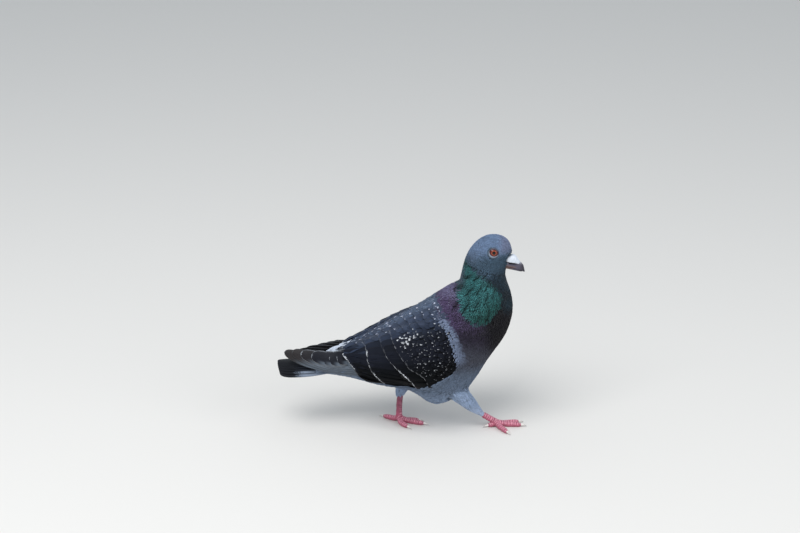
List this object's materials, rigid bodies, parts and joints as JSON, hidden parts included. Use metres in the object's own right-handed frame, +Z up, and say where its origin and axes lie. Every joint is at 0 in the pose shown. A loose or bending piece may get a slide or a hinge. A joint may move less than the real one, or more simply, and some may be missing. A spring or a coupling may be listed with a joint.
{
  "type": "pigeon",
  "caption": "Life-size feral pigeon in mid stride, head up, one leg reaching ahead and one under the body, wings folded over a level tail.",
  "frame": {"origin": "on the floor under the middle of the bird's box", "axes": "+X the way the bird walks, +Y its left side, +Z up"},
  "size_m": [0.255, 0.1, 0.203],
  "materials": {
    "head_feathers": "soft slate-blue feathers",
    "neck_feathers": "glossy green and purple neck feathers",
    "body_feathers": "blue-grey body feathers, purple-brown on the breast",
    "wing_feathers": "near-black wing feathers with pale tips",
    "leg_feathers": "pale blue-grey leg feathers",
    "foot_skin": "pink-red scaled skin",
    "claw_horn": "pale horn",
    "bill_horn": "dark purplish horn",
    "cere_skin": "chalky white skin",
    "eye": "wet, red-orange",
    "eye_rim": "pale bare skin"
  },
  "bodies": {
    "root": {"head": "head_feathers", "neck": "neck_feathers", "trunk": "body_feathers", "tail": "wing_feathers", "wing_right": "wing_feathers", "wing_left": "wing_feathers", "primaries_right": "wing_feathers", "primaries_left": "wing_feathers", "thigh_right": "leg_feathers", "thigh_left": "leg_feathers", "foot_right": "foot_skin", "foot_left": "foot_skin", "claw_right_inner": "claw_horn", "claw_right_middle": "claw_horn", "claw_right_outer": "claw_horn", "claw_right_hind": "claw_horn", "claw_left_inner": "claw_horn", "claw_left_middle": "claw_horn", "claw_left_outer": "claw_horn", "claw_left_hind": "claw_horn", "bill_upper": "bill_horn", "bill_lower": "bill_horn", "cere": "cere_skin", "eye_right": "eye", "eye_left": "eye"}
  },
  "joints": []
}
